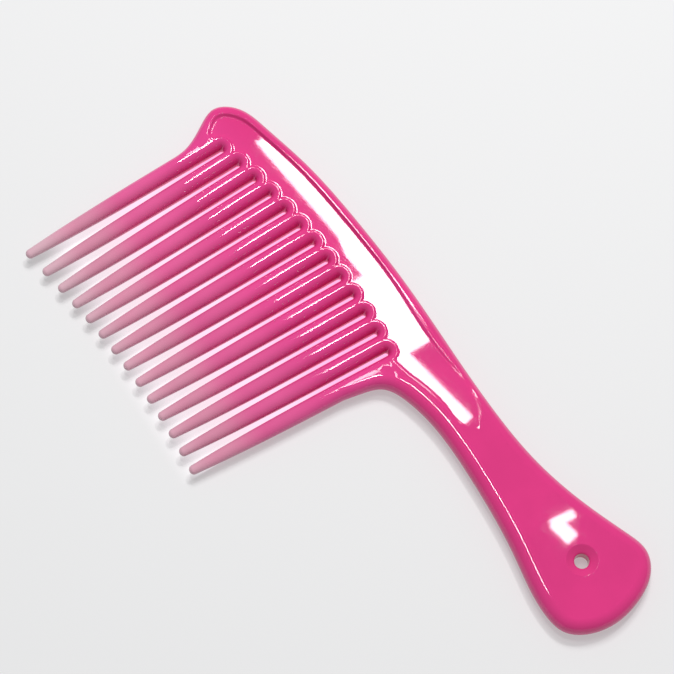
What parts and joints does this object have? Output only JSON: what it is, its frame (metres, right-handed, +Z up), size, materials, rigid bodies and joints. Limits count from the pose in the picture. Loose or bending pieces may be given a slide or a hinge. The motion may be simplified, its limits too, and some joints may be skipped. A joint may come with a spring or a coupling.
{
  "type": "wide tooth comb",
  "caption": "Wide tooth rake comb in one piece of glossy plastic, with a flat handle that flares to a hanging hole.",
  "frame": {"origin": "bottom centre of the comb's bounding box, on the plane that it lies on", "axes": "+X towards the handle's end, -Y towards the tooth tips, +Z up from the face that it lies on"},
  "size_m": [0.2354, 0.1278, 0.01],
  "materials": {
    "comb_plastic": "glossy injection-moulded pink plastic, a little paler and duller towards the tooth tips"
  },
  "bodies": {
    "root": {"back": "comb_plastic", "neck": "comb_plastic", "handle": "comb_plastic", "tooth_01": "comb_plastic", "tooth_02": "comb_plastic", "tooth_03": "comb_plastic", "tooth_04": "comb_plastic", "tooth_05": "comb_plastic", "tooth_06": "comb_plastic", "tooth_07": "comb_plastic", "tooth_08": "comb_plastic", "tooth_09": "comb_plastic", "tooth_10": "comb_plastic", "tooth_11": "comb_plastic", "tooth_12": "comb_plastic", "tooth_13": "comb_plastic", "tooth_14": "comb_plastic"}
  },
  "joints": []
}
